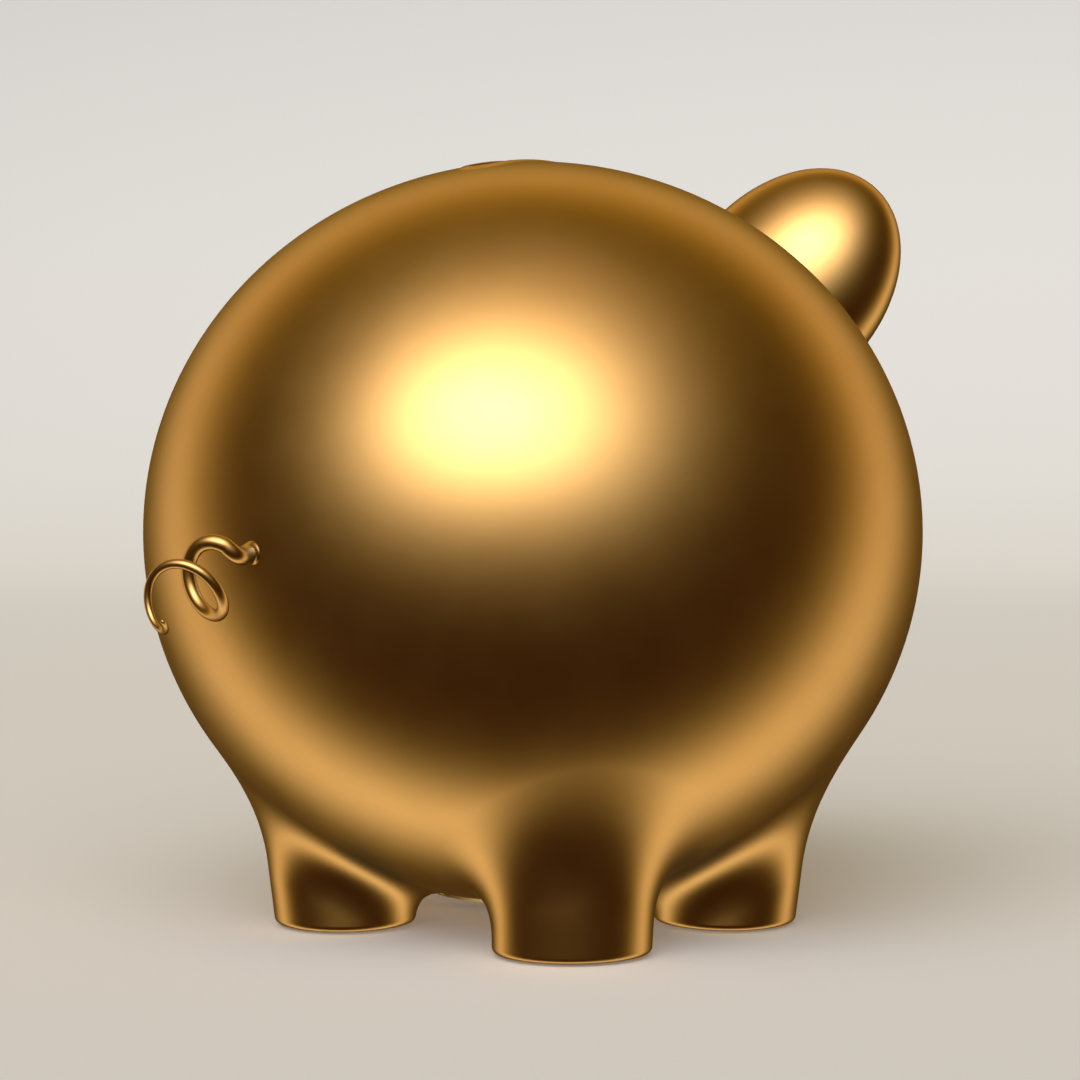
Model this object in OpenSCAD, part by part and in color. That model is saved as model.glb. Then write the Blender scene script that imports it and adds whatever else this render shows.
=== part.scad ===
// Round metal piggy bank on four short legs.
// It has a raised coin slot on its back, a curly tail, and a screw plug in its belly.
// Millimetres. +X points to the snout, +Y to the pig's left, +Z up.
// The origin is on the floor, under the middle of the body.

/* [Body] */
// Width of the round body across its waist, the same in X and Y
body_w = 160; // [150:1:170]
// Height of the body alone, from belly to back
body_h = 152.2; // [146:0.1:158]
// Height of the body's centre above the floor
body_z = 81.2; // [80:0.1:84]
// Thickness of the metal wall
wall = 1.6; // [1.4:0.1:2.4]

/* [Legs] */
// Distance of the front feet ahead of the body's centre
front_foot_x = 26.4; // [24:0.1:30]
// Distance of the rear feet behind the body's centre
rear_foot_x = 24.8; // [24:0.1:30]
// Distance of each foot from the centre plane
foot_y = 30.1; // [29:0.1:34]
// Radius of a foot at the floor
foot_r = 14.8; // [13:0.1:15]
// Radius of the rounded edge round the sole
sole_edge_r = 1.3; // [0.5:0.1:1.5]
// Radius of the resilient pad under each foot
pad_r = 11; // [8:0.5:11]
// Thickness of a pad
pad_t = 1.4; // [1:0.1:2]

/* [Coin slot] */
// Distance of the slot's middle behind the top of the back
slot_back = 3; // [0:0.5:6]
// Length of the slot, for coins up to about 30 mm across
slot_l = 33; // [28:0.5:34]
// Width of the slot
slot_w = 5; // [5:0.1:6]
// Width of the rim round the slot
slot_rim_w = 1.8; // [1.2:0.1:2.4]
// Height of the rim above the back
slot_rim_h = 0.4; // [0.3:0.1:1.2]

/* [Ears] */
// Middle of the right ear: ahead of, out from and above the body's centre
ear_at = [50.4, -27.5, 50.8];
// Half of the ear's length
ear_half_l = 29.2; // [24:0.1:32]
// Half of the ear's width
ear_half_w = 21.9; // [16:0.1:24]
// Half of the ear's thickness
ear_half_t = 16; // [12:0.1:17]
// Compass direction that the right ear leans towards, from the snout
ear_lean_az = -55; // [-65:1:-45]
// Steepness of the ear's length above the horizontal
ear_lean_el = 49; // [42:0.5:56]
// Turn of the ear about its own length
ear_spin = 66.5; // [60:0.5:80]

/* [Face] */
// How far the snout stands out in front of the body
snout_l = 25; // [20:0.5:28]
// Radius of the snout's front
snout_r = 23; // [18:0.5:24]
// Radius of an eye bead
eye_r = 4.6; // [3:0.1:6]
// Compass direction of each eye from the snout
eye_az = 21; // [17:1:26]
// Height of each eye round the body, in degrees above the waist
eye_el = 21; // [18:1:26]

/* [Tail] */
// Turns in the tail's curl
tail_turns = 2; // [1:0.1:2.2]
// Length of the curl along its own axis
tail_l = 25.4; // [18:0.1:26]
// Slope of the curl's axis below the horizontal
tail_droop = 21.3; // [0:0.1:30]
// Widest radius of the curl, before it tightens
tail_curl_r = 7.2; // [5:0.1:8]
// Radius of the rod where it leaves the body
tail_root_r = 1.7; // [1.4:0.1:1.8]
// Radius of the rod at its tip
tail_tip_r = 0.45; // [0.4:0.05:0.8]

/* [Belly plug] */
// Radius of the screw plug's thread
plug_r = 16; // [14:0.5:16]
// Rise of the thread in one turn
thread_pitch = 2; // [1.5:0.5:2]
// Turns that free the plug
thread_turns = 2; // [1:0.5:2]

/* [Hidden] */
$fn = 96;

// Shared clearances
loose_fit = 0.05;    // a stud or a sleeve in its hole, and the plug in its ring
past = 1;            // how far a cutter runs past what it cuts
through = 4;         // how far a stud's cutter runs past each face of the wall
body_r = body_w / 2;
body_c = body_h / 2;
big = 4 * body_w;    // larger than the whole bank
flattest_r = 70;     // least radius of curvature inside the shell, for flat washers

// Fixings: [stud radius, washer radius, nut width across flats, nut thickness]
ear_fix = [2.5, 6, 8, 4];
snout_fix = [3, 8, 10, 5];
tail_fix = [2, 4.5, 7, 3.2];
washer_t = 1;
washer_gap = 0.2;    // room between a washer and its stud
seat_gap = 0.1;      // room between a washer and the curved wall
stud_spare = 1.2;    // thread that shows past each nut
stud_root = 2;       // length of a stud that is buried in its casting

// The floor side of the feet
sole_z = 0.5;
leg_flare = [[0.8, 8], [2.2, 15], [4, 27]];   // [growth of the leg's radius, height]
leg_top_z = leg_flare[2][1];

// Belly ring and plug, as heights above the floor
ring_bottom_z = 6.8;
ring_step_z = 9.2;
ring_top_z = 14;
ring_flange_z = 10;
ring_flange_t = 1.6;
ring_r = 20;
ring_flange_r = 22.5;
plug_head_r = plug_r + 1.4;
plug_head_gap = 0.2;
plug_wall = 4;       // thickness of the plug's hollow sleeve
plug_web_t = 1.5;    // metal above the head, inside the sleeve
chamfer = 0.8;       // on the ends of the ring and the plug
head_chamfer = 0.5;
seal_inset = 0.2;
seal_t = 1;
plug_top_z = ring_step_z - seal_t + thread_turns * thread_pitch;
coin_groove = [24, 2.4, 1.8];   // length, width, depth

gold = [0.83, 0.62, 0.26];
steel = [0.72, 0.73, 0.75];
brass = [0.78, 0.66, 0.35];
rubber = [0.08, 0.08, 0.08];

// Angle round the ellipse whose surface normal rises at el degrees
function ellipse_angle(el) = atan(body_c / body_r * tan(el));

// Point on the outer surface, from the body's centre, where the normal points to (az, el)
function skin_point(az, el) =
  let (t = ellipse_angle(el))
  [body_r * cos(t) * cos(az), body_r * cos(t) * sin(az), body_c * sin(t)];

// Places children on the skin, with +Z along the outward normal
module on_skin(az, el) {
  translate([0, 0, body_z])
    translate(skin_point(az, el))
      rotate([0, 90 - el, az])
        children();
}

// Upper and lower halves of an ellipse's outline, as the profile of a turned solid
module body_profile(grow) {
  intersection() {
    scale([(body_r + grow) / body_r, (body_c + grow) / body_r])
      circle(r = body_r);
    translate([0, -big / 2])
      square([big / 2, big]);
  }
}

// The body as a full solid, larger or smaller by grow all round
module body_solid(grow) {
  translate([0, 0, body_z])
    rotate_extrude()
      body_profile(grow);
}

// Half of space on one side of the centre plane: side is -1 for right and 1 for left
module half_space(side) {
  translate([-big / 2, side > 0 ? 0 : -big, -big / 2])
    cube([big, big, big]);
}

// Stadium outline centred on the origin, along X
module stadium(l, w) {
  square([l - w, w], center = true);
  for (s = [-1, 1])
    translate([s * (l - w) / 2, 0])
      circle(r = w / 2);
}

// One leg, from its rounded sole up into the body
module leg(x, y) {
  e = sole_edge_r;
  translate([x, y, 0])
    rotate_extrude()
      polygon([
        [0, sole_z],
        [foot_r - e, sole_z],
        for (a = [15:15:90]) [foot_r - e + e * sin(a), sole_z + e - e * cos(a)],
        for (f = leg_flare) [foot_r + f[0], f[1]],
        [0, leg_top_z]
      ]);
}

// Places children under each foot of one side
module at_feet(side) {
  for (x = [front_foot_x, -rear_foot_x])
    translate([x, side * foot_y, 0])
      children();
}

// Cutter for a stud's hole through the wall, in the frame of on_skin()
module stud_hole(r) {
  translate([0, 0, -wall - through])
    cylinder(r = r + loose_fit, h = wall + 2 * through);
}

// Places children over the coin slot, at the height of the body's centre
module at_slot() {
  translate([-slot_back, 0, body_z])
    children();
}

// One half of the hollow body with its two legs; the other half is its mirror image
module shell_half(side) {
  color(gold)
    difference() {
      intersection() {
        union() {
          body_solid(0);
          for (x = [front_foot_x, -rear_foot_x])
            leg(x, side * foot_y);
        }
        half_space(side);
      }
      body_solid(-wall);
      // Recess for each foot's pad
      at_feet(side)
        translate([0, 0, -past])
          cylinder(r = pad_r + loose_fit, h = pad_t + past);
      // Coin slot's rim
      at_slot()
        linear_extrude(body_c + 2 * past)
          stadium(slot_l + 2 * slot_rim_w + 2 * loose_fit, slot_w + 2 * slot_rim_w + 2 * loose_fit);
      // Belly ring
      cylinder(r = ring_r + loose_fit, h = body_z);
      on_skin(side * ear_az, ear_el)
        stud_hole(ear_fix[0]);
      on_skin(side * eye_az, eye_el)
        stud_hole(eye_pin_r);
      snout_frame()
        stud_hole(snout_fix[0]);
      tail_frame()
        stud_hole(tail_fix[0]);
    }
}

module shell_right() {
  shell_half(-1);
}

module shell_left() {
  shell_half(1);
}

// Tube through the back that lines the slot and stands proud as a rim
module slot_rim() {
  lining = 1;   // how far the tube reaches inside the wall
  high = body_c + slot_rim_h + past;
  color(gold)
    difference() {
      intersection() {
        difference() {
          body_solid(slot_rim_h);
          body_solid(-wall - lining);
        }
        at_slot()
          linear_extrude(high)
            stadium(slot_l + 2 * slot_rim_w, slot_w + 2 * slot_rim_w);
      }
      at_slot()
        linear_extrude(high)
          stadium(slot_l, slot_w);
    }
}

// Where the ear's stud goes through the wall: below the ear's middle, square to the skin
ear_az = atan2(-ear_at[1], ear_at[0]);
ear_el = atan(ear_at[2] * body_r * body_r / body_c / body_c / norm([ear_at[0], ear_at[1]]));

// Ear casting: a thick oval leaf with a shallow scoop in front, and a stud behind the wall
module ear(side) {
  dish_r = 24;
  dish_depth = 6;
  dish_raise = 5;
  color(gold)
    to_side(side) {
      difference() {
        translate([0, 0, body_z])
          translate(ear_at)
            rotate([0, 90 - ear_lean_el, ear_lean_az])
              rotate([0, 0, ear_spin])
                difference() {
                  scale([ear_half_t, ear_half_w, ear_half_l])
                    sphere(r = 1);
                  translate([ear_half_t - dish_depth + dish_r, 0, dish_raise])
                    sphere(r = dish_r);
                }
        body_solid(0);
      }
      on_skin(-ear_az, ear_el)
        stud(ear_fix);
    }
}

// Mirrors the right-hand children to the left when side is 1
module to_side(side) {
  if (side > 0)
    mirror([0, 1, 0])
      children();
  else
    children();
}

// Depth below the skin at which a flat washer of this radius meets the curved wall
function seat_depth(fix) = wall + fix[1] * fix[1] / (2 * flattest_r) + seat_gap;

// Stud through the wall, in the frame of on_skin()
module stud(fix) {
  l = seat_depth(fix) + washer_t + fix[3] + stud_spare;
  translate([0, 0, -l])
    cylinder(r = fix[0], h = l + stud_root);
}

// Washer against the inside of the wall, in the frame of on_skin()
module washer(fix) {
  color(steel)
    translate([0, 0, -seat_depth(fix) - washer_t])
      difference() {
        cylinder(r = fix[1], h = washer_t);
        translate([0, 0, -past])
          cylinder(r = fix[0] + washer_gap, h = washer_t + 2 * past);
      }
}

// Hexagon nut against the washer, in the frame of on_skin()
module nut(fix) {
  color(steel)
    translate([0, 0, -seat_depth(fix) - washer_t - fix[3]])
      difference() {
        cylinder(r = fix[2] / sqrt(3), h = fix[3], $fn = 6);
        translate([0, 0, -past])
          cylinder(r = fix[0] + loose_fit, h = fix[3] + 2 * past);
      }
}

module ear_right() {
  ear(-1);
}

module ear_left() {
  ear(1);
}

// Frame at the front of the body, +Z pointing forwards
module snout_frame() {
  on_skin(0, 0)
    children();
}

// Short round snout with a rounded rim, a dished front and two nostrils
module snout() {
  rim_r = 4;
  dish_r = 60;
  dish_depth = 1.2;
  base_r = snout_r + 1.5;
  sink = 5;
  face_t = 4;
  side_t = 3;
  boss_r = 6;
  nostril_y = 7.5;
  nostril_r = 3.1;
  nostril_depth = 2.6;
  color(gold) {
    difference() {
      snout_frame()
        difference() {
          rotate_extrude()
            polygon([
              [0, -sink],
              [base_r, -sink],
              [snout_r, snout_l / 2],
              for (a = [0:15:90]) [snout_r - rim_r + rim_r * cos(a), snout_l - rim_r + rim_r * sin(a)],
              [0, snout_l]
            ]);
          translate([0, 0, snout_l - dish_depth + dish_r])
            sphere(r = dish_r);
          for (s = [-1, 1])
            translate([0, s * nostril_y, snout_l - dish_depth - nostril_depth])
              cylinder(r = nostril_r, h = nostril_depth + dish_depth + past);
          // Hollow behind the front, round the boss that holds the stud
          translate([0, 0, -sink - past])
            difference() {
              cylinder(r1 = base_r - side_t, r2 = snout_r - rim_r, h = snout_l - face_t + sink + past);
              cylinder(r = boss_r, h = snout_l + sink);
            }
        }
      body_solid(0);
    }
    snout_frame()
      stud(snout_fix);
  }
}

// Domed bead with a flat back, on a short pin pressed into the wall
eye_pin_r = 1.2;
module eye(side) {
  pin_l = 4;
  lip_h = 0.5;
  dome_h = 3.6;
  color(gold)
    on_skin(side * eye_az, eye_el)
      rotate_extrude()
        polygon([
          [0, -pin_l],
          [eye_pin_r, -pin_l],
          [eye_pin_r, 0],
          [eye_r, 0],
          for (a = [0:10:90]) [eye_r * cos(a), lip_h + dome_h * sin(a)]
        ]);
}

module eye_right() {
  eye(-1);
}

module eye_left() {
  eye(1);
}

// Root of the tail: a little to the left of the seam and below the waist
tail_y = 2.8;
tail_z = -1.9;
tail_start_az = -111;   // where round the curl the rod begins
tail_grow = 0.147;      // share of the rod over which the curl opens out
tail_tighten = 0.494;   // share of the curl's radius lost by the tip
tail_late = 2.74;       // how late the curl tightens: 1 is evenly along the rod
tail_kick = 2.2;        // straight length before the curl
tail_kick_t = 0.04;     // share of the rod over which it runs straight out
tail_gap = 0.9;         // stretch of bare stud between the skin and the rod
tail_upright = [0.25, 0.1, 1];   // never along the rod: orders the points round it
tail_step = 0.002;
tail_rings = 72;
tail_sides = 12;
tail_az = 180 - asin(tail_y / body_r);
tail_el = atan(tail_z / body_r);

// Frame at the tail's root, +Z pointing backwards
module tail_frame() {
  on_skin(tail_az, tail_el)
    children();
}

// Centre line of the tail, for t from 0 at the root to 1 at the tip
function tail_point(t) =
  let (
    root = [-body_r - tail_gap, tail_y, body_z + tail_z],
    back = [-cos(tail_droop), 0, -sin(tail_droop)],
    up = [-sin(tail_droop), 0, cos(tail_droop)],
    f = tail_start_az + 360 * tail_turns * t,
    r = tail_curl_r * (1 - exp(-pow(t / tail_grow, 2))) * (1 - tail_tighten * pow(t, tail_late)),
    along = tail_l * t + tail_kick * (1 - exp(-t / tail_kick_t))
  )
  root + along * back + r * cos(f) * up + [0, r * sin(f), 0];

// Radius of the tail's rod
function tail_rod_r(t) = tail_tip_r + (tail_root_r - tail_tip_r) * (1 - t);

// Direction of the tail's rod
function tail_dir(t) =
  let (d = tail_point(t + tail_step) - tail_point(max(t - tail_step, 0)))
  d / norm(d);

// Ring of points round the rod
function tail_ring(t) =
  let (
    d = tail_dir(t),
    u0 = cross(d, tail_upright),
    u = u0 / norm(u0),
    v = cross(d, u),
    p = tail_point(t),
    r = tail_rod_r(t)
  )
  [for (k = [0:tail_sides - 1]) p + r * cos(360 * k / tail_sides) * u + r * sin(360 * k / tail_sides) * v];

// Curled, tapering rod with a stud through the wall
module tail() {
  n = tail_rings;
  m = tail_sides;
  tip = tail_point(1) + tail_rod_r(1) * tail_dir(1);
  points = concat(
    [for (i = [0:n]) each tail_ring(i / n)],
    [tail_point(0), tip]
  );
  faces = concat(
    [for (i = [0:n - 1], k = [0:m - 1])
      each [
        [i * m + k, (i + 1) * m + k, (i + 1) * m + (k + 1) % m],
        [i * m + k, (i + 1) * m + (k + 1) % m, i * m + (k + 1) % m]
      ]],
    [for (k = [0:m - 1]) [k, (k + 1) % m, (n + 1) * m]],
    [for (k = [0:m - 1]) [n * m + (k + 1) % m, n * m + k, (n + 1) * m + 1]]
  );
  color(gold) {
    polyhedron(points = points, faces = faces);
    tail_frame()
      stud(tail_fix);
  }
}

// Threaded ring fixed in the belly, with a step for the plug's head and seal
module belly_ring() {
  color(brass)
    rotate_extrude()
      polygon([
        [plug_head_r + plug_head_gap, ring_bottom_z],
        [ring_r - chamfer, ring_bottom_z],
        [ring_r, ring_bottom_z + chamfer],
        [ring_r, ring_flange_z],
        [ring_flange_r, ring_flange_z],
        [ring_flange_r, ring_flange_z + ring_flange_t],
        [ring_r, ring_top_z],
        [plug_r, ring_top_z],
        [plug_r, ring_step_z],
        [plug_head_r + plug_head_gap, ring_step_z]
      ]);
}

// Screw plug with a groove across its head for turning it with a coin
module belly_plug() {
  head_top_z = ring_step_z - seal_t;
  color(gold)
    difference() {
      rotate_extrude()
        polygon([
          [0, ring_bottom_z],
          [plug_head_r - head_chamfer, ring_bottom_z],
          [plug_head_r, ring_bottom_z + head_chamfer],
          [plug_head_r, head_top_z],
          [plug_r - loose_fit, head_top_z],
          [plug_r - loose_fit, plug_top_z - chamfer],
          [plug_r - loose_fit - chamfer, plug_top_z],
          [plug_r - plug_wall, plug_top_z],
          [plug_r - plug_wall, head_top_z + plug_web_t],
          [0, head_top_z + plug_web_t]
        ]);
      translate([0, 0, ring_bottom_z - past])
        linear_extrude(coin_groove[2] + past)
          stadium(coin_groove[0], coin_groove[1]);
    }
}

// Rubber ring squeezed between the plug's head and the step in the ring
module plug_seal() {
  color(rubber)
    translate([0, 0, ring_step_z - seal_t])
      difference() {
        cylinder(r = plug_head_r - seal_inset, h = seal_t);
        translate([0, 0, -past])
          cylinder(r = plug_r + loose_fit, h = seal_t + 2 * past);
      }
}

// Pad in the recess of one foot
module foot_pad(x, y) {
  color(rubber)
    translate([x, y, 0])
      cylinder(r = pad_r, h = pad_t);
}

shell_right();
shell_left();
slot_rim();
ear_right();
ear_left();
snout();
eye_right();
eye_left();
tail();
belly_ring();
belly_plug();
plug_seal();
foot_pad(front_foot_x, -foot_y);  // foot_pad_front_right
foot_pad(front_foot_x, foot_y);  // foot_pad_front_left
foot_pad(-rear_foot_x, -foot_y);  // foot_pad_rear_right
foot_pad(-rear_foot_x, foot_y);  // foot_pad_rear_left
on_skin(-ear_az, ear_el) washer(ear_fix);  // ear_washer_right
on_skin(ear_az, ear_el) washer(ear_fix);  // ear_washer_left
on_skin(-ear_az, ear_el) nut(ear_fix);  // ear_nut_right
on_skin(ear_az, ear_el) nut(ear_fix);  // ear_nut_left
snout_frame() washer(snout_fix);  // snout_washer
snout_frame() nut(snout_fix);  // snout_nut
tail_frame() washer(tail_fix);  // tail_washer
tail_frame() nut(tail_fix);  // tail_nut
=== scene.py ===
import math

import bmesh
import bpy
import numpy as np
from mathutils import Matrix, Vector


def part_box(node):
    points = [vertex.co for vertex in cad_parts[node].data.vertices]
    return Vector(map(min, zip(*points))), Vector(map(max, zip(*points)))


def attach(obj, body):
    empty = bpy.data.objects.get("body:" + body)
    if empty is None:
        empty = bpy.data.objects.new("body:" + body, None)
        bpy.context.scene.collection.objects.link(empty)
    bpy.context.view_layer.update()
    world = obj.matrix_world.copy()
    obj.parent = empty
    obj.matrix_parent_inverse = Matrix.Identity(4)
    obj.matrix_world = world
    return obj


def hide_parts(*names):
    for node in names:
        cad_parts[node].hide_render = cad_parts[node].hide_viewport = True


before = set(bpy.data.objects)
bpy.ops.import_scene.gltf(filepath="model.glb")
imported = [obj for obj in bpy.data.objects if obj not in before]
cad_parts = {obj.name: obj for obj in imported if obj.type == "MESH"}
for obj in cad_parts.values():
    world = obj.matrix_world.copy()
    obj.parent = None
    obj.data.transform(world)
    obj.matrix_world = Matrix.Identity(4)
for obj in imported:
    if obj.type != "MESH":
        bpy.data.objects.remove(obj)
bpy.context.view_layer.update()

# ---------------------------------------------------------------------------
# Sizes in millimetres and angles in degrees, unless they say otherwise.
# +X is the snout, +Z is up.
# ---------------------------------------------------------------------------

MM = 0.001


def box_mm(node):
    """Lowest and highest corner of a CAD node"""
    low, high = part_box(node)
    return np.array(low) / MM, np.array(high) / MM


def middle(node):
    """Middle of a CAD node's box"""
    low, high = box_mm(node)
    return (low + high) / 2


shell_low, shell_high = box_mm("shell_left")
BODY_R = (shell_high[0] - shell_low[0]) / 2      # the body is round in plan
BODY_C = 76.1                                    # half of its height
BODY_Z = 81.2                                    # height of the body's middle
WALL = 1.6
CENTRE = np.array([0.0, 0.0, BODY_Z])
SKIN_OVERLAP = 0.3                               # how far a fitted piece sinks into the skin

# Legs: oval columns that lean outwards and melt into the body
LEG_R = 15.0
LEG_SIZE = (14.4, 15.7)                          # half widths along a spoke from the middle, and across it
LEG_TAPER = 0.03                                 # growth of the radius with height
LEG_WAIST_Z = 8                                  # above this height a leg slims,
LEG_WAIST = 0.0015                               # by this much times the square of what is above it
LEG_LEAN = 0.0025                                # growth of the legs' spread with height, per millimetre
LEG_BLEND = {"front": 12, "rear": 10.5}          # reach of the fillet between leg and body
LEG_TOP = 42                                     # height at which a leg ends, inside the body
FEET = {end: middle(f"foot_pad_{end}_left")[:2] for end in LEG_BLEND}
SOLE_Z = 0.5
SOLE_EDGE = 1.3                                  # radius of the rounded edge under a leg
pad_low, pad_high = box_mm("foot_pad_front_left")
PAD_T = pad_high[2]
PAD_R = (pad_high[0] - pad_low[0]) / 2
PAD_EDGE = 0.4

# Holes in the shells
LOOSE = 0.05                                     # clearance of what sits in a hole
BELLY_HOLE_R = 20
SNOUT_STUD_R = 3
EAR_STUD_R = 2.5
TAIL_STUD_R = 2

# Coin slot
SLOT_AT = np.array([middle("slot_rim")[0], 0])
SLOT_L = 33
SLOT_W = 5
SLOT_RIM_W = 1.8
SLOT_RIM_H = 0.4
SLOT_FLANK = 0.8                                 # how far the lip reaches out over the skin
SLOT_LINING = WALL + 1                           # depth of the lining below the skin

# Right ear: an oval leaf; the left one is its mirror image
EAR_AT = CENTRE + np.array([50.4, -27.5, 50.8])
EAR_HALF = np.array([16.0, 21.9, 29.2])          # thickness, width, length
EAR_LEAN_AZ = -55                                # compass direction and height that its length points in
EAR_LEAN_EL = 49
EAR_SPIN = 66.5                                  # turn of the leaf about its length
EAR_DISH = 7                                     # depth of the hollow in front
EAR_LIP = 0.86                                   # share of the ear's front inside its lip

# Snout and eyes
SNOUT_FRONT = box_mm("snout")[1][0]
SNOUT_BASE_R = 24.5
SNOUT_R = 23
SNOUT_EDGE = 4
SNOUT_FILLET = 3
SNOUT_DISH = 1.4                                 # depth of the hollow in the snout's face
NOSTRIL_R = 3.1
NOSTRIL_TALL = 1.3                               # height of a nostril against its width
NOSTRIL_DEPTH = 3.2
NOSTRIL_EDGE = 0.62                              # share of its radius that is flat, and again that slopes
NOSTRIL_Y = 7.5
EYE_R = 4.6
EYE_DOME = 3.6
EYE_COLLAR = 0.4                                 # radius of the collar's round edge
EYE_PIN_R = 1.2
EYE_PIN_L = 4
EYE_AZ = 21                                      # compass direction and height that an eye looks in
EYE_EL = 21

# Tail: a tapering rod on a curl that tightens
TAIL_Y = 2.8                                     # root, to the left of the centre plane
TAIL_Z = -1.9                                    # its height against the body's middle
TAIL_GAP = 0.9                                   # from the skin to where the curl's formula begins
TAIL_ROOT = np.array([-BODY_R - TAIL_GAP, TAIL_Y, BODY_Z + TAIL_Z])
TAIL_TURNS = 2
TAIL_L = 25.4                                    # length along the curl's axis
TAIL_KICK = 2.2                                  # extra length at the root, before the curl opens
TAIL_KICK_T = 0.04                               # share of the rod that it is spread over
TAIL_DROOP = math.radians(21.3)                  # slope of the curl's axis
TAIL_CURL_R = 7.2
TAIL_START = math.radians(-111)                  # where on its turn the curl starts
TAIL_TIGHTEN = 0.494                             # share of the curl's radius that is lost at the tip
TAIL_LATE = 2.74                                 # how late it tightens: 1 is evenly along the rod
TAIL_GROW = 0.147                                # share of the rod over which the curl opens
TAIL_EASE = 0.135                                # share of the rod that is a smooth bend out of the skin
TAIL_ROOT_R = 1.7
TAIL_TIP_R = 0.45
TAIL_LEAD = (3.0, 3.8)                           # handles of the bend: off the skin, and into the curl
TAIL_SAG = 1.4                                   # how much lower the second handle sits
TAIL_FLARE = 0.6                                 # extra radius where the rod meets the skin
TAIL_FLARE_L = 1.3                               # distance from the skin over which the flare fades
TAIL_FLARE_CURVE = 0.9                           # 1 fades evenly; less is sharper at the skin


# ---------------------------------------------------------------------------
# Mesh helpers
# ---------------------------------------------------------------------------

def new_object(name, points, faces):
    """Mesh object from points in millimetres"""
    mesh = bpy.data.meshes.new(name)
    mesh.from_pydata((np.asarray(points, float) * MM).tolist(), [], [tuple(map(int, f)) for f in faces])
    mesh.validate()
    obj = bpy.data.objects.new(name, mesh)
    bpy.context.scene.collection.objects.link(obj)
    face_outwards(obj)
    return obj


def face_outwards(obj):
    """Turns every face of a closed mesh outwards"""
    shape = bmesh.new()
    shape.from_mesh(obj.data)
    bmesh.ops.recalc_face_normals(shape, faces=shape.faces)
    shape.to_mesh(obj.data)
    shape.free()


def smooth(obj, angle=35):
    """Smooth shading with crisp edges where faces meet at more than the angle, in degrees"""
    obj.data.polygons.foreach_set("use_smooth", [True] * len(obj.data.polygons))
    obj.data.set_sharp_from_angle(angle=math.radians(angle))


def join_rings(rings, capped=True, looped=False):
    """Points and faces of a skin over rings of points; looped joins the last ring to the first"""
    rings = np.asarray(rings, float)
    count, sides, _ = rings.shape
    points = [p for ring in rings for p in ring]
    faces = []
    for i in range(count if looped else count - 1):
        j = (i + 1) % count
        for k in range(sides):
            m = (k + 1) % sides
            faces.append((i * sides + k, i * sides + m, j * sides + m, j * sides + k))
    if capped and not looped:
        for ring, start in ((rings[0], 0), (rings[-1], (count - 1) * sides)):
            points.append(ring.mean(axis=0))
            hub = len(points) - 1
            for k in range(sides):
                m = (k + 1) % sides
                faces.append((start + k, start + m, hub) if start else (start + m, start + k, hub))
    return points, faces


def turned(profile, sides=96):
    """Points and faces of a profile of (radius, height) pairs turned round Z"""
    angles = np.linspace(0, 2 * math.pi, sides, endpoint=False)
    rings = [[(r * math.cos(a), r * math.sin(a), h) for a in angles] for r, h in profile]
    return join_rings(rings)


def arc(centre_r, centre_h, radius, start, end, steps=8):
    """Profile points of a round corner, from one angle to another in degrees"""
    return [
        (centre_r + radius * math.cos(a), centre_h + radius * math.sin(a))
        for a in np.radians(np.linspace(start, end, steps))
    ]


def mirrored(points):
    """The same points on the other side of the centre plane"""
    return np.asarray(points, float) * (1, -1, 1)


def skin_frame(az, el):
    """Rotation and place on the skin of the direction (az, el) of its normal, in degrees"""
    t = math.atan(BODY_C / BODY_R * math.tan(math.radians(el)))
    a = math.radians(az)
    place = CENTRE + np.array([
        BODY_R * math.cos(t) * math.cos(a),
        BODY_R * math.cos(t) * math.sin(a),
        BODY_C * math.sin(t),
    ])
    turn = Matrix.Rotation(a, 3, "Z") @ Matrix.Rotation(math.radians(90 - el), 3, "Y")
    return np.array(turn), place


def placed(points, turn, place):
    """Points turned and moved"""
    return np.asarray(points, float) @ turn.T + place


def cut(obj, cutter):
    """Takes the cutter's space out of an object, and deletes the cutter"""
    modifier = obj.modifiers.new("cut", "BOOLEAN")
    modifier.object = cutter
    modifier.operation = "DIFFERENCE"
    modifier.solver = "EXACT"
    evaluated = obj.evaluated_get(bpy.context.evaluated_depsgraph_get())
    mesh = bpy.data.meshes.new_from_object(evaluated)
    obj.modifiers.clear()
    obj.data = mesh
    bpy.data.objects.remove(cutter)


def ellipsoid(name, grow, sides=128):
    """The body's own ellipsoid, larger by grow all round; its poles are on Y, clear of the centre plane"""
    profile = [(math.cos(t), math.sin(t)) for t in np.radians(np.linspace(-89, 89, sides // 2))]
    points, faces = turned(profile, sides)
    x, z, y = np.asarray(points).T
    size = np.array([BODY_R + grow, BODY_R + grow, BODY_C + grow])
    return new_object(name, np.column_stack([x, y, z]) * size + CENTRE, faces)


def stadium(length, width, steps=24):
    """Outline with two straight sides and round ends, and the outward direction at each point"""
    outline, outward = [], []
    for end in (1, -1):
        for a in np.linspace(-math.pi / 2, math.pi / 2, steps):
            direction = np.array([math.cos(a), math.sin(a)]) * end
            outline.append(np.array([end * (length - width) / 2, 0]) + direction * width / 2)
            outward.append(direction)
        side = np.linspace(0.5, -0.5, 18)[1:-1] * (length - width) * end
        outline += [np.array([x, end * width / 2]) for x in side]
        outward += [np.array([0, end])] * len(side)
    return np.array(outline), np.array(outward)


# ---------------------------------------------------------------------------
# Body: one hollow shell a side, with its two legs
# ---------------------------------------------------------------------------

def blend(a, b, reach):
    """Smooth union of two distance fields"""
    share = np.maximum(reach - np.abs(a - b), 0) / reach
    return np.minimum(a, b) - share * share * reach / 4


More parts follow.
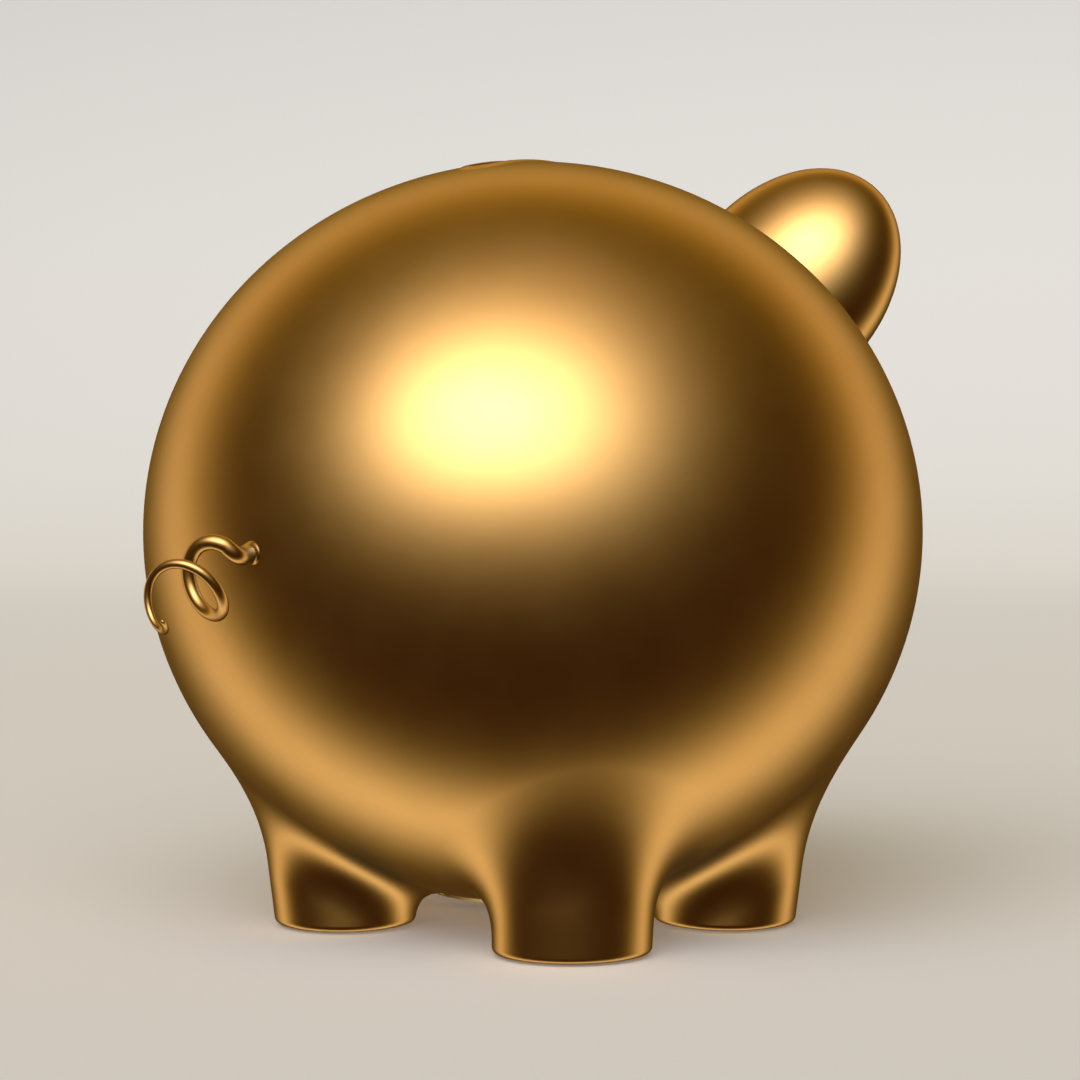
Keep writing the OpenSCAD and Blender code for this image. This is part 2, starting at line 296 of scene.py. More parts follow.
def outer_field(p):
    """Distance-like field of the body and its four legs, negative inside"""
    x, y, z = p[..., 0], p[..., 1], p[..., 2]
    up = z - BODY_Z
    e = np.sqrt((x / BODY_R) ** 2 + (y / BODY_R) ** 2 + (up / BODY_C) ** 2)
    g = np.sqrt((x / BODY_R) ** 2 + (y / BODY_R) ** 2 + (up * BODY_R / BODY_C ** 2) ** 2) + 1e-6
    field = BODY_R * e * (e - 1) / g
    leg_r = LEG_R + LEG_TAPER * z - LEG_WAIST * np.maximum(z - LEG_WAIST_Z, 0) ** 2
    spread = 1 + LEG_LEAN * z
    for end, (foot_x, foot_y) in FEET.items():
        for side in (1, -1):
            spoke = np.array((foot_x, side * foot_y)) / math.hypot(foot_x, foot_y)
            dx, dy = x - foot_x * spread, y - side * foot_y * spread
            along = dx * spoke[0] + dy * spoke[1]
            across = dy * spoke[0] - dx * spoke[1]
            off_axis = np.hypot(along / LEG_SIZE[0], across / LEG_SIZE[1]) * LEG_R
            leg = np.maximum(off_axis - leg_r, z - LEG_TOP)
            field = blend(field, leg, LEG_BLEND[end])
    return field


def gradient(field, p, step=0.02):
    """Slope of a field at points"""
    slopes = []
    for axis in np.eye(3) * step:
        slopes.append((field(p + axis) - field(p - axis)) / (2 * step))
    return np.stack(slopes, -1)


def surface_net(field, axes):
    """Quads of the surface where a field is zero: one point in each grid cell that it crosses"""
    grid = np.stack(np.meshgrid(*axes, indexing="ij"), -1)
    value = field(grid)
    cells = np.array(value.shape) - 1
    total = np.zeros((*cells, 3))
    hits = np.zeros(cells)
    found = []
    for a in range(3):
        b, c = (a + 1) % 3, (a + 2) % 3
        first = tuple(slice(0, -1) if i == a else slice(None) for i in range(3))
        second = tuple(slice(1, None) if i == a else slice(None) for i in range(3))
        v0, v1 = value[first], value[second]
        crossed = (v0 < 0) != (v1 < 0)
        share = (v0[crossed] / (v0[crossed] - v1[crossed]))[:, None]
        points = grid[first][crossed] * (1 - share) + grid[second][crossed] * share
        edge = np.argwhere(crossed)
        corners = []
        for db, dc in ((0, 0), (1, 0), (1, 1), (0, 1)):
            cell = edge.copy()
            cell[:, b] -= db
            cell[:, c] -= dc
            inside = ((cell >= 0) & (cell < cells)).all(axis=1)
            np.add.at(total, tuple(cell[inside].T), points[inside])
            np.add.at(hits, tuple(cell[inside].T), 1)
            corners.append(cell)
        whole = np.all([((cell >= 0) & (cell < cells)).all(axis=1) for cell in corners], axis=0)
        quads = np.stack(corners, 1)[whole]
        backwards = v0[crossed][whole] >= 0
        quads[backwards] = quads[backwards][:, ::-1]
        found.append(quads)
    used = hits > 0
    number = np.full(hits.shape, -1)
    number[used] = np.arange(used.sum())
    quads = np.concatenate(found)
    return total[used] / hits[used][:, None], number[tuple(np.moveaxis(quads, -1, 0))]


def pull_to_surface(field, points, rounds=3):
    """Moves points along the field's slope until they lie on its surface"""
    for _ in range(rounds):
        slope = gradient(field, points)
        points = points - field(points)[:, None] * slope / (slope ** 2).sum(-1, keepdims=True)
    return points


def even_out(points, quads, fixed, rounds=4):
    """Moves each free point towards the middle of its neighbours, and back to the surface"""
    edges = np.concatenate([quads[:, [i, (i + 1) % 4]] for i in range(4)])
    for _ in range(rounds):
        total = np.zeros_like(points)
        count = np.zeros(len(points))
        np.add.at(total, edges[:, 0], points[edges[:, 1]])
        np.add.at(count, edges[:, 0], 1)
        mean = total / np.maximum(count, 1)[:, None]
        points = np.where(fixed[:, None], points, (points + mean) / 2)
        points = pull_to_surface(outer_field, points, 1)
    return points


def boundary_loops(shape, wanted):
    """Closed loops of boundary vertices that a test accepts"""
    edges = [e for e in shape.edges if e.is_boundary and all(wanted(v.co) for v in e.verts)]
    next_to = {}
    for e in edges:
        a, b = e.verts
        next_to.setdefault(a, []).append(b)
        next_to.setdefault(b, []).append(a)
    loops = []
    while next_to:
        start = next(iter(next_to))
        loop, last, here = [start], None, start
        while True:
            ahead = [v for v in next_to[here] if v is not last]
            last, here = here, ahead[0]
            if here is start:
                break
            loop.append(here)
        for v in loop:
            del next_to[v]
        loops.append(loop)
    return loops


def close_sole(shape, loop):
    """Rounds the edge under one leg, and closes it with the recess for its pad"""
    here = np.array([v.co for v in loop])
    slope = gradient(outer_field, here) * (1, 1, 0)
    outward = slope / np.linalg.norm(slope, axis=1, keepdims=True)
    foot = min(FEET.values(), key=lambda f: np.hypot(*(here.mean(0)[:2] - f)))
    rings = []
    for a in np.radians(np.linspace(0, 90, 8))[1:]:
        ring = here - outward * SOLE_EDGE * (1 - math.cos(a))
        ring[:, 2] = SOLE_Z + SOLE_EDGE * (1 - math.sin(a))
        rings.append(ring)
    spoke = here[:, :2] - foot
    spoke /= np.linalg.norm(spoke, axis=1, keepdims=True)
    for radius, height in ((PAD_R + LOOSE, SOLE_Z), (PAD_R + LOOSE, PAD_T), (PAD_R / 2, PAD_T)):
        rings.append(np.column_stack([foot + spoke * radius, np.full(len(loop), height)]))
    above = loop
    for ring in rings:
        below = [shape.verts.new(p) for p in ring]
        for k in range(len(loop)):
            m = (k + 1) % len(loop)
            shape.faces.new((above[k], above[m], below[m], below[k]))
        above = below
    shape.faces.new(above)


def left_skin():
    """Closed outer surface of the left half, cut flat at the centre plane"""
    step = 1.6
    reach = BODY_R + 3 * step
    axes = (
        np.arange(-reach, reach, step),
        np.arange(-step / 2, reach, step),
        np.arange(-2.5 * step, BODY_Z + BODY_C + 3 * step, step),
    )
    points, quads = surface_net(outer_field, axes)
    seam = np.abs(points[:, 1]) < step / 100
    points[seam, 1] = 0
    points = pull_to_surface(outer_field, points)
    points = even_out(points, quads, seam | (points[:, 2] < SOLE_Z - step))
    points[seam, 1] = 0
    shape = bmesh.new()
    verts = [shape.verts.new(p) for p in points]
    for quad in quads:
        shape.faces.new([verts[i] for i in quad])
    level = SOLE_Z + SOLE_EDGE
    bmesh.ops.bisect_plane(
        shape, geom=shape.verts[:] + shape.edges[:] + shape.faces[:],
        plane_co=(0, 0, level), plane_no=(0, 0, -1), clear_outer=True, dist=step / 200,
    )
    for loop in boundary_loops(shape, lambda p: abs(p.z - level) < step / 100):
        close_sole(shape, loop)
    for loop in boundary_loops(shape, lambda p: abs(p.y) < step / 100):
        shape.faces.new(loop)
    bmesh.ops.recalc_face_normals(shape, faces=shape.faces)
    points = [tuple(v.co) for v in shape.verts]
    shape.verts.index_update()
    faces = [[v.index for v in f.verts] for f in shape.faces]
    shape.free()
    return points, faces


def prism(name, outline, low, high, turn=np.eye(3), place=np.zeros(3)):
    """Prism along a frame's Z axis, for cutting holes"""
    rings = [[(x, y, z) for x, y in outline] for z in (low, high)]
    points, faces = join_rings(rings, capped=False)
    sides = len(outline)
    faces += [tuple(range(sides))[::-1], tuple(range(sides, 2 * sides))]
    return new_object(name, placed(points, turn, place), faces)


def round_hole(name, radius, turn, place, back, ahead, sides=48):
    """Rod for cutting a round hole; no corner of it lies in the centre plane"""
    angles = (np.arange(sides) + 0.5) * 2 * math.pi / sides
    outline = np.column_stack([np.cos(angles), np.sin(angles)]) * radius
    return prism(name, outline, -back, ahead, turn, place)


def hollow(obj, side):
    """Hollows one half, and cuts its slot, its belly hole and its stud holes"""
    past = 5  # how far a cutter reaches past the skin, at least
    cut(obj, ellipsoid("inside", -WALL))
    around = 2 * SLOT_RIM_W + 2 * LOOSE
    outline, _ = stadium(SLOT_L + around, SLOT_W + around)
    cut(obj, prism("slot", outline + SLOT_AT, BODY_Z, BODY_Z + BODY_C + past))
    cut(obj, round_hole("belly", BELLY_HOLE_R + LOOSE, np.eye(3), np.zeros(3), past, BODY_Z / 2, 96))
    cut(obj, round_hole("snout_stud", SNOUT_STUD_R + LOOSE, *skin_frame(0, 0), past, past))
    ear_az, ear_el = ear_stud()
    cut(obj, round_hole("ear_stud", EAR_STUD_R + LOOSE, *skin_frame(side * ear_az, ear_el), past, past))
    if side > 0:
        cut(obj, round_hole("tail_stud", TAIL_STUD_R + LOOSE, *tail_frame(), past, past))


def ear_stud():
    """Direction of the skin's normal under the middle of the left ear, in degrees"""
    x, y, z = (EAR_AT - CENTRE) * (1, -1, 1)
    steep = z * BODY_R ** 2 / BODY_C ** 2 / math.hypot(x, y)
    return math.degrees(math.atan2(y, x)), math.degrees(math.atan(steep))


def tail_frame():
    """Rotation and place on the skin of the tail's root"""
    az = 180 - math.degrees(math.asin(TAIL_Y / BODY_R))
    return skin_frame(az, math.degrees(math.atan(TAIL_Z / BODY_R)))


def shade_by_field(obj):
    """Gives the outer surface the exact normals of its field, so that no seam shows"""
    smooth(obj)
    mesh = obj.data
    points = np.zeros(len(mesh.vertices) * 3)
    mesh.vertices.foreach_get("co", points)
    points = points.reshape(-1, 3) / MM
    slope = gradient(outer_field, points)
    slope /= np.linalg.norm(slope, axis=1, keepdims=True)
    near = 0.02
    on_skin = (np.abs(outer_field(points)) < near) & (points[:, 2] > SOLE_Z + SOLE_EDGE - near / 2)
    custom = np.zeros((len(mesh.loops), 3))
    for face in mesh.polygons:
        corners = np.array(face.vertices)
        facing = slope[corners] @ np.array(face.normal)
        if on_skin[corners].all() and facing.min() > 0.9:
            custom[face.loop_indices] = slope[corners]
    mesh.normals_split_custom_set(custom.tolist())


def make_shells():
    """Left and right half of the body"""
    points, faces = left_skin()
    shells = []
    for name, side in (("gold_shell_left", 1), ("gold_shell_right", -1)):
        obj = new_object(name, points if side > 0 else mirrored(points), faces)
        hollow(obj, side)
        shade_by_field(obj)
        shells.append(obj)
    return shells


# ---------------------------------------------------------------------------
# Fitted pieces
# ---------------------------------------------------------------------------

def skin_z(x, y):
    """Height of the back above the floor"""
    return BODY_Z + BODY_C * np.sqrt(np.maximum(1 - (x ** 2 + y ** 2) / BODY_R ** 2, 0))


def skin_x(y, z):
    """How far ahead the front of the body is"""
    return BODY_R * np.sqrt(np.maximum(1 - (y / BODY_R) ** 2 - ((z - BODY_Z) / BODY_C) ** 2, 0))


def make_slot_rim():
    """Lining of the coin slot, with a lip that slopes down into the skin"""
    outline, outward = stadium(SLOT_L, SLOT_W)
    round_r = 0.3
    lip_w = SLOT_RIM_W + SLOT_FLANK
    under = -0.1  # the lip ends just inside the skin
    section = [(0, -SLOT_LINING), (0, WALL - SLOT_LINING)]
    section += arc(round_r, SLOT_RIM_H - round_r, round_r, 180, 90, 7)
    for t in np.linspace(0, 1, 12)[1:]:
        section.append((round_r + t * (lip_w - round_r), SLOT_RIM_H * (1 - ease(t))))
    section += [(lip_w, under), (SLOT_RIM_W, under), (SLOT_RIM_W, -SLOT_LINING)]
    rings = []
    for out, height in section:
        flat = outline + outward * out + SLOT_AT
        rings.append(np.column_stack([flat, skin_z(flat[:, 0], flat[:, 1]) + height]))
    obj = new_object("gold_slot_rim", *join_rings(rings, looped=True))
    smooth(obj)
    return obj


def ease(t):
    """Smooth step from 0 to 1"""
    t = np.clip(t, 0, 1)
    return t * t * (3 - 2 * t)


def make_ear(name, side):
    """Oval leaf with a soft hollow in front, trimmed to the skin"""
    around = np.linspace(0, 2 * math.pi, 144, endpoint=False)
    rings = []
    for polar in np.radians(np.linspace(1, 179, 110)):
        across = math.sin(polar)
        depth = EAR_DISH * (1 - ease(across / EAR_LIP)) if polar < math.pi / 2 else 0
        ahead = np.full(len(around), math.cos(polar))
        ring = np.column_stack([ahead, across * np.cos(around), across * np.sin(around)]) * EAR_HALF
        rings.append(ring - (depth, 0, 0))
    turn = (
        Matrix.Rotation(math.radians(EAR_LEAN_AZ), 3, "Z")
        @ Matrix.Rotation(math.radians(90 - EAR_LEAN_EL), 3, "Y")
        @ Matrix.Rotation(math.radians(EAR_SPIN), 3, "Z")
    )
    points, faces = join_rings(rings)
    points = placed(points, np.array(turn), EAR_AT)
    obj = new_object(name, mirrored(points) if side > 0 else points, faces)
    cut(obj, ellipsoid("skin", -SKIN_OVERLAP))
    smooth(obj)
    return obj


def make_snout():
    """Round snout on a soft fillet, with a dished front and two nostrils"""
    face_r = SNOUT_R - SNOUT_EDGE
    angles = np.linspace(0, 2 * math.pi, 288, endpoint=False)
    across = np.column_stack([np.cos(angles), np.sin(angles)])

    def on_skin_ring(radius, height):
        """Ring on the front of the body, ahead of the skin by a height"""
        y, up = across.T * radius
        return np.column_stack([skin_x(y, BODY_Z + up) + height, y, BODY_Z + up])

    rings = [on_skin_ring(r, -SKIN_OVERLAP) for r in np.linspace(2, SNOUT_BASE_R + SNOUT_FILLET, 9)]
    for a in np.radians(np.linspace(0, 80, 9)):
        radius = SNOUT_BASE_R + SNOUT_FILLET * (1 - math.sin(a))
        rings.append(on_skin_ring(radius, SNOUT_FILLET * (1 - math.cos(a))))
    base = rings[-1]
    edge_x = SNOUT_FRONT - SNOUT_EDGE
    start = np.column_stack([np.full(len(angles), edge_x), across * SNOUT_R + (0, BODY_Z)])
    for t in np.linspace(0, 1, 9)[1:]:
        rings.append(base * (1 - t) + start * t)
    for radius, x in arc(face_r, edge_x, SNOUT_EDGE, 0, 90, 12)[1:]:
        rings.append(np.column_stack([np.full(len(angles), x), across * radius + (0, BODY_Z)]))
    for radius in np.linspace(face_r, 0.4, 76)[1:]:
        y, up = across.T * radius
        dish = SNOUT_DISH * ease(1 - radius / face_r)
        x = SNOUT_FRONT - dish - nostril_depth(y, up)
        rings.append(np.column_stack([x, y, up + BODY_Z]))
    obj = new_object("gold_snout", *join_rings(rings))
    smooth(obj, 60)
    return obj


def nostril_depth(y, up):
    """Depth of the two oval nostrils below the snout's face"""
    off = np.hypot(np.abs(y) - NOSTRIL_Y, up / NOSTRIL_TALL)
    edge = NOSTRIL_R * NOSTRIL_EDGE
    return NOSTRIL_DEPTH * (1 - ease((off - edge) / edge))


def make_eye(name, side):
    """Domed bead in a thin collar, on a pin"""
    collar_r = EYE_R + 0.1
    dome_r = EYE_R - 0.45
    dome_z = 0.5
    profile = [(EYE_PIN_R, -EYE_PIN_L), (EYE_PIN_R, -SKIN_OVERLAP), (collar_r + EYE_COLLAR, -SKIN_OVERLAP)]
    profile += arc(collar_r, dome_z / 2, EYE_COLLAR, 0, 120, 6)
    profile += [(dome_r + 0.1, dome_z)]
    for a in np.radians(np.linspace(0, 88, 20)):
        profile.append((dome_r * math.cos(a), dome_z + EYE_DOME * math.sin(a)))
    points, faces = turned(profile, 72)
    obj = new_object(name, placed(points, *skin_frame(side * EYE_AZ, EYE_EL)), faces)
    smooth(obj, 40)
    return obj


def tail_point(t):
    """Centre line of the tail, for t from 0 at the root to 1 at the tip"""
    back = np.array([-math.cos(TAIL_DROOP), 0, -math.sin(TAIL_DROOP)])
    up = np.array([-math.sin(TAIL_DROOP), 0, math.cos(TAIL_DROOP)])
    turn = TAIL_START + 2 * math.pi * TAIL_TURNS * t
    radius = TAIL_CURL_R * (1 - math.exp(-((t / TAIL_GROW) ** 2))) * (1 - TAIL_TIGHTEN * t ** TAIL_LATE)
    along = TAIL_L * t + TAIL_KICK * (1 - math.exp(-t / TAIL_KICK_T))
    side = np.array([0, 1, 0])
    return TAIL_ROOT + along * back + radius * (math.cos(turn) * up + math.sin(turn) * side)


def tail_rod_r(t):
    """Radius of the tail's rod"""
    return TAIL_TIP_R + (TAIL_ROOT_R - TAIL_TIP_R) * (1 - t)


def bezier(u, corners):
    """Point at u on the curve of four corners"""
    shares = [math.comb(3, i) * u ** i * (1 - u) ** (3 - i) for i in range(4)]
    return sum(share * corner for share, corner in zip(shares, corners))


def tail_line():
    """Centres and radii along the tail: a stub in the wall, the bend out of the skin, and the curl"""
    turn, skin = tail_frame()
    outward = turn @ np.array([0, 0, 1])
    centres = [skin + outward * d for d in (-0.7, -0.35)]
    radii = [tail_rod_r(0)] * len(centres)
    end = tail_point(TAIL_EASE)
    ahead = tail_point(TAIL_EASE + 0.01) - end
    ahead /= np.linalg.norm(ahead)
    sag = np.array([0, 0, TAIL_SAG])
    bend = (skin, skin + outward * TAIL_LEAD[0], end - ahead * TAIL_LEAD[1] - sag, end)
    for u in np.linspace(0, 1, 40):
        centres.append(bezier(u, bend))
        radii.append(tail_rod_r(u * TAIL_EASE))
    for t in np.linspace(TAIL_EASE, 1, 290)[1:]:
        centres.append(tail_point(t))
        radii.append(tail_rod_r(t))
    centres, radii = np.array(centres), np.array(radii)
    away = np.maximum((centres - skin) @ outward, 0)
    radii = radii + TAIL_FLARE * np.exp(-((away / TAIL_FLARE_L) ** TAIL_FLARE_CURVE))
    return centres, radii


def make_tail():
    """Tapering rod that flares where it meets the skin, with a rounded tip"""
    centres, radii = tail_line()
    tangents = np.gradient(centres, axis=0)
    tangents /= np.linalg.norm(tangents, axis=1, keepdims=True)
    tip_step = TAIL_TIP_R * 0.24  # between the four rings that round the tip
    for a in np.radians([25, 45, 62, 78]):
        centres = np.vstack([centres, centres[-1] + tangents[-1] * tip_step])
        tangents = np.vstack([tangents, tangents[-1]])
        radii = np.append(radii, TAIL_TIP_R * math.cos(a))
    angles = np.linspace(0, 2 * math.pi, 32, endpoint=False)[:, None]
    side = np.cross(tangents[0], (0, 0, 1))
    rings = []
    for centre, tangent, radius in zip(centres, tangents, radii):
        side = side - tangent * (side @ tangent)
        side = side / np.linalg.norm(side)
        other = np.cross(tangent, side)
        rings.append(centre + radius * (np.cos(angles) * side + np.sin(angles) * other))
    obj = new_object("gold_tail", *join_rings(rings))
    smooth(obj, 60)
    return obj


def make_foot_pad(name, node):
    """Rubber disc with a rounded edge and two shallow grooves underneath"""
    depth, flank, floor_w = 0.35, 0.3, 0.8  # of a groove
    middle_r = 0.4
    profile = [(middle_r, 0)]
    for r in (4.2, 7.6):
        profile += [(r, 0), (r + flank, depth), (r + flank + floor_w, depth), (r + 2 * flank + floor_w, 0)]
    profile += arc(PAD_R - PAD_EDGE, PAD_EDGE, PAD_EDGE, -90, 0, 6)
    profile += [(PAD_R, PAD_T), (middle_r, PAD_T)]
    points, faces = turned(profile, 96)
    x, y, _ = middle(node)
    obj = new_object(name, np.asarray(points) + (x, y, 0), faces)
    smooth(obj, 30)
    return obj


# ---------------------------------------------------------------------------
# Materials
# ---------------------------------------------------------------------------

def node_tools(material):
    """Nodes, links and Principled shader of a material, after clearing what it had"""
    material.use_nodes = True
    nodes, links = material.node_tree.nodes, material.node_tree.links
    nodes.clear()
    output = nodes.new("ShaderNodeOutputMaterial")
    shader = nodes.new("ShaderNodeBsdfPrincipled")
    links.new(shader.outputs["BSDF"], output.inputs["Surface"])
    return nodes, links, shader


def noise(nodes, links, coordinates, scale, detail=3.0, roughness=0.5):
    """Noise over the object's own space, in features per metre"""
    node = nodes.new("ShaderNodeTexNoise")
    node.inputs["Scale"].default_value = scale
    node.inputs["Detail"].default_value = detail
    node.inputs["Roughness"].default_value = roughness
    links.new(coordinates, node.inputs["Vector"])
    return node.outputs["Fac"]


NOISE_RANGE = (0.3, 0.7)                         # where most of the noise lies
GRAIN_HEIGHT = 0.05
HAZE_FINENESS = 3.5                              # how much finer the roughness varies than the colour


def mix_colours(nodes, links, share, dark, light):
    """Colour between two by a share, over the middle of the noise's range"""
    ramp = nodes.new("ShaderNodeValToRGB")
    for stop, position, colour in zip(ramp.color_ramp.elements, NOISE_RANGE, (dark, light)):
        stop.position = position
        stop.color = (*colour, 1)
    links.new(share, ramp.inputs["Fac"])
    return ramp.outputs["Color"]


def spread(nodes, links, share, low, high):
    """Maps the middle of the noise's range to low and high"""
    node = nodes.new("ShaderNodeMapRange")
    node.inputs["From Min"].default_value = NOISE_RANGE[0]
    node.inputs["From Max"].default_value = NOISE_RANGE[1]
    node.inputs["To Min"].default_value = low
    node.inputs["To Max"].default_value = high
    links.new(share, node.inputs["Value"])
    return node.outputs["Result"]


def bump(nodes, links, height, strength, shader):
    """Fine relief of the surface, without changing its shape"""
    node = nodes.new("ShaderNodeBump")
    node.inputs["Strength"].default_value = strength
    node.inputs["Distance"].default_value = GRAIN_HEIGHT * MM
    links.new(height, node.inputs["Height"])
    links.new(node.outputs["Normal"], shader.inputs["Normal"])


def surface_material(name, dark, light, metallic, rough, patch_scale, grain_scale, grain, specular=0.5):
    """Material whose colour, roughness and relief vary a little: patches of tone, and a fine grain"""
    material = bpy.data.materials.new(name)
    nodes, links, shader = node_tools(material)
    coordinates = nodes.new("ShaderNodeTexCoord").outputs["Object"]
    shader.inputs["Metallic"].default_value = metallic
    shader.inputs["Specular IOR Level"].default_value = specular
    patches = noise(nodes, links, coordinates, patch_scale)
    links.new(mix_colours(nodes, links, patches, dark, light), shader.inputs["Base Color"])
    haze = noise(nodes, links, coordinates, patch_scale * HAZE_FINENESS, 5.0, 0.6)
    links.new(spread(nodes, links, haze, *rough), shader.inputs["Roughness"])
    fine = noise(nodes, links, coordinates, grain_scale, 2.0)
    bump(nodes, links, fine, grain, shader)
    return material


GOLD = surface_material(
    "satin_gold", (0.93, 0.52, 0.17), (0.95, 0.55, 0.19), 1.0, (0.28, 0.31), 25, 1800, 0.05)
BRASS = surface_material(
    "turned_brass", (0.70, 0.50, 0.22), (0.78, 0.57, 0.27), 1.0, (0.26, 0.36), 90, 2600, 0.15)
STEEL = surface_material(
    "zinc_steel", (0.52, 0.53, 0.55), (0.62, 0.63, 0.64), 1.0, (0.30, 0.42), 160, 2600, 0.15)
RUBBER = surface_material(
    "black_rubber", (0.022, 0.022, 0.023), (0.034, 0.033, 0.032), 0.0, (0.62, 0.75), 140, 2200, 0.5, 0.3)


# ---------------------------------------------------------------------------
# The pieces and what they stand for
# ---------------------------------------------------------------------------

def fit(obj, node, body, material):
    """Puts a new piece in a CAD node's place"""
    obj.data.materials.clear()
    obj.data.materials.append(material)
    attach(obj, body)
    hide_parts(node)
    obj.visible_glossy = material is not GOLD


def refinish(node, material):
    """Gives a CAD node a better material"""
    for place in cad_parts[node].material_slots:
        place.material = material


for shell, node in zip(make_shells(), ("shell_left", "shell_right")):
    fit(shell, node, "bank", GOLD)
fit(make_slot_rim(), "slot_rim", "bank", GOLD)
fit(make_snout(), "snout", "bank", GOLD)
fit(make_tail(), "tail", "bank", GOLD)
for word, side in (("right", -1), ("left", 1)):
    fit(make_ear(f"gold_ear_{word}", side), f"ear_{word}", "bank", GOLD)
    fit(make_eye(f"gold_eye_{word}", side), f"eye_{word}", "bank", GOLD)
    refinish(f"ear_washer_{word}", STEEL)
    refinish(f"ear_nut_{word}", STEEL)
    for end in ("front", "rear"):
        node = f"foot_pad_{end}_{word}"
        fit(make_foot_pad(f"rubber_{node}", node), node, "bank", RUBBER)
for node in ("snout_washer", "snout_nut", "tail_washer", "tail_nut"):
    refinish(node, STEEL)
refinish("belly_ring", BRASS)
refinish("belly_plug", GOLD)
refinish("plug_seal", RUBBER)


# ---------------------------------------------------------------------------
# Stage: pale floor that curves up into a wall, soft light, camera
# ---------------------------------------------------------------------------

def direction(az, el):
    """Unit vector of a compass direction and a height, in degrees"""
    a, e = math.radians(az), math.radians(el)
    return Vector((math.cos(e) * math.cos(a), math.cos(e) * math.sin(a), math.sin(e)))


def make_stage():
    """Round floor whose edge curves up into a wall and closes overhead; lights pass through it"""
    floor_r, wall_r, top = 1100, 1700, 3000
    profile = [(r, 0) for r in (0.5, 300, 600, floor_r)]
    profile += arc(floor_r, wall_r - floor_r, wall_r - floor_r, -80, 0, 14)
    profile += [(wall_r, top - wall_r)] + arc(0, top - wall_r, wall_r, 10, 88, 14)
    points, faces = turned(profile, 96)
    floor = new_object("studio_floor", points, faces)
    floor.data.flip_normals()
    smooth(floor, 180)
    material = bpy.data.materials.new("studio_paper")
    nodes, links, shader = node_tools(material)
    shader.inputs["Base Color"].default_value = (0.84, 0.83, 0.82, 1)
    shader.inputs["Roughness"].default_value = 0.9
    shader.inputs["Specular IOR Level"].default_value = 0.1
    shader.inputs["Emission Color"].default_value = (1.0, 0.985, 0.96, 1)
    shader.inputs["Emission Strength"].default_value = 0.1
    clear = nodes.new("ShaderNodeBsdfTransparent")
    from_behind = nodes.new("ShaderNodeNewGeometry").outputs["Backfacing"]
    mix = nodes.new("ShaderNodeMixShader")
    links.new(from_behind, mix.inputs["Fac"])
    links.new(shader.outputs["BSDF"], mix.inputs[1])
    links.new(clear.outputs["BSDF"], mix.inputs[2])
    links.new(mix.outputs["Shader"], nodes["Material Output"].inputs["Surface"])
    floor.data.materials.append(material)
    floor.visible_diffuse = False
    floor.visible_glossy = False
    floor.visible_shadow = False


# Soft studio light: (compass direction, height, tightness, red, green, blue)
LOBES = (
    (-138.2, 38, 12, 2.15, 2.2, 2.35),
    (-167.6, 37.5, 13.5, 2.5, 2.5, 2.6),
    (-151, 67, 6, 0.47, 0.41, 0.34),
)
AMBIENT = (0.026, 0.0085, -0.06)                 # blue below zero takes it out of the faint edges
# Warm ring of light behind the bank, stronger towards the floor
RING_AXIS = (36.8, -19.3)                        # compass direction and height, in degrees
RING_SPREAD = 58.4                               # angle between its axis and its brightest line
RING_TIGHTNESS = 22
RING_LOPSIDED = 0.33                             # 0 is even; more is sharper inside and softer outside
RING_SIDE_STEP = 6                               # how fast the one side changes to the other
RING_COLOUR = (0.71, 0.60, 0.43)
RING_LOW_COLOUR = (0.30, 0.35, 0.39)             # added at the very bottom, and taken away at the top


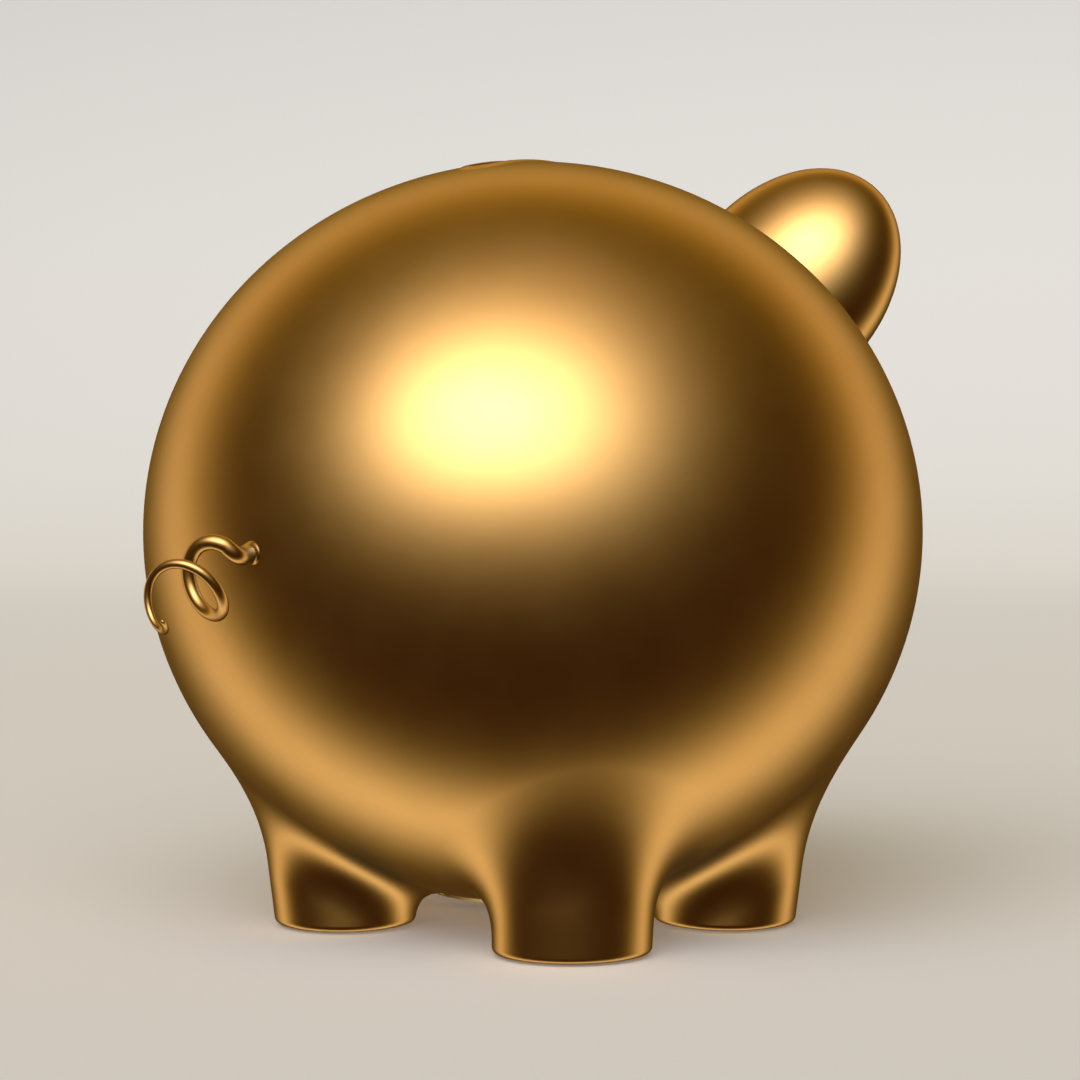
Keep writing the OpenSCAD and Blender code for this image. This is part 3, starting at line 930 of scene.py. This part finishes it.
def make_light():
    """Light from all round, as a sum of soft lobes and one ring"""
    world = bpy.data.worlds.new("studio_light")
    bpy.context.scene.world = world
    world.use_nodes = True
    nodes, links = world.node_tree.nodes, world.node_tree.links
    nodes.clear()
    output = nodes.new("ShaderNodeOutputWorld")
    background = nodes.new("ShaderNodeBackground")
    links.new(background.outputs["Background"], output.inputs["Surface"])
    looking = nodes.new("ShaderNodeTexCoord").outputs["Generated"]

    def calculate(operation, *values):
        """Output of a maths node; a value is a number or another node's output"""
        node = nodes.new("ShaderNodeMath")
        node.operation = operation
        for socket, value in zip(node.inputs, values):
            if isinstance(value, (int, float)):
                socket.default_value = value
            else:
                links.new(value, socket)
        return node.outputs["Value"]

    def towards(az, el):
        """Cosine of the angle between the looked-at direction and another one"""
        node = nodes.new("ShaderNodeVectorMath")
        node.operation = "DOT_PRODUCT"
        links.new(looking, node.inputs[0])
        node.inputs[1].default_value = direction(az, el)
        return node.outputs["Value"]

    def add_colour(total, colour, share):
        """Adds a share of a colour to the total so far"""
        scaled = nodes.new("ShaderNodeVectorMath")
        scaled.operation = "SCALE"
        scaled.inputs[0].default_value = colour
        links.new(share, scaled.inputs["Scale"])
        added = nodes.new("ShaderNodeVectorMath")
        added.operation = "ADD"
        links.new(scaled.outputs["Vector"], added.inputs[0])
        if isinstance(total, tuple):
            added.inputs[1].default_value = total
        else:
            links.new(total, added.inputs[1])
        return added.outputs["Vector"]

    total = AMBIENT
    for az, el, tightness, *colour in LOBES:
        near = calculate("MULTIPLY_ADD", towards(az, el), tightness, -tightness)
        total = add_colour(total, colour, calculate("EXPONENT", near))
    off = calculate("SUBTRACT", towards(*RING_AXIS), math.cos(math.radians(RING_SPREAD)))
    inner = calculate("TANH", calculate("MULTIPLY", off, RING_SIDE_STEP))
    sharp = calculate("MULTIPLY_ADD", inner, -RING_TIGHTNESS * RING_LOPSIDED, -RING_TIGHTNESS)
    soft = calculate("EXPONENT", calculate("MULTIPLY", calculate("MULTIPLY", off, off), sharp))
    total = add_colour(total, RING_COLOUR, soft)
    total = add_colour(total, RING_LOW_COLOUR, calculate("MULTIPLY", soft, towards(0, -90)))
    no_less = nodes.new("ShaderNodeVectorMath")
    no_less.operation = "MAXIMUM"
    no_less.inputs[1].default_value = (0, 0, 0)
    links.new(total, no_less.inputs[0])
    links.new(no_less.outputs["Vector"], background.inputs["Color"])


# Camera
VIEW_AZ = 39.29                                  # compass direction that it looks along
VIEW_EL = 2.07                                   # how far it looks down, in degrees
VIEW_DISTANCE = 638.7
AIM_RAISE = 0.03                                 # above the body's middle
PAN = 0.129                                      # small turns away from the body's middle, in degrees
TILT = -0.147
LENS = 102.99


def make_camera():
    """Camera behind the bank and to its right, a little above its middle"""
    look = direction(VIEW_AZ, -VIEW_EL)
    aim = Vector((0, 0, BODY_Z + AIM_RAISE)) * MM
    right = look.cross(Vector((0, 0, 1))).normalized()
    up = right.cross(look)
    ahead = (look + right * math.tan(math.radians(PAN)) + up * math.tan(math.radians(TILT))).normalized()
    camera = bpy.data.objects.new("camera", bpy.data.cameras.new("camera"))
    bpy.context.scene.collection.objects.link(camera)
    camera.location = aim - look * VIEW_DISTANCE * MM
    camera.rotation_mode = "QUATERNION"
    camera.rotation_quaternion = ahead.to_track_quat("-Z", "Y")
    camera.data.lens = LENS
    camera.data.sensor_width = 36
    camera.data.clip_start = 0.01
    camera.data.clip_end = 20
    bpy.context.scene.camera = camera


make_stage()
make_light()
make_camera()
bpy.context.scene.view_settings.view_transform = "Standard"
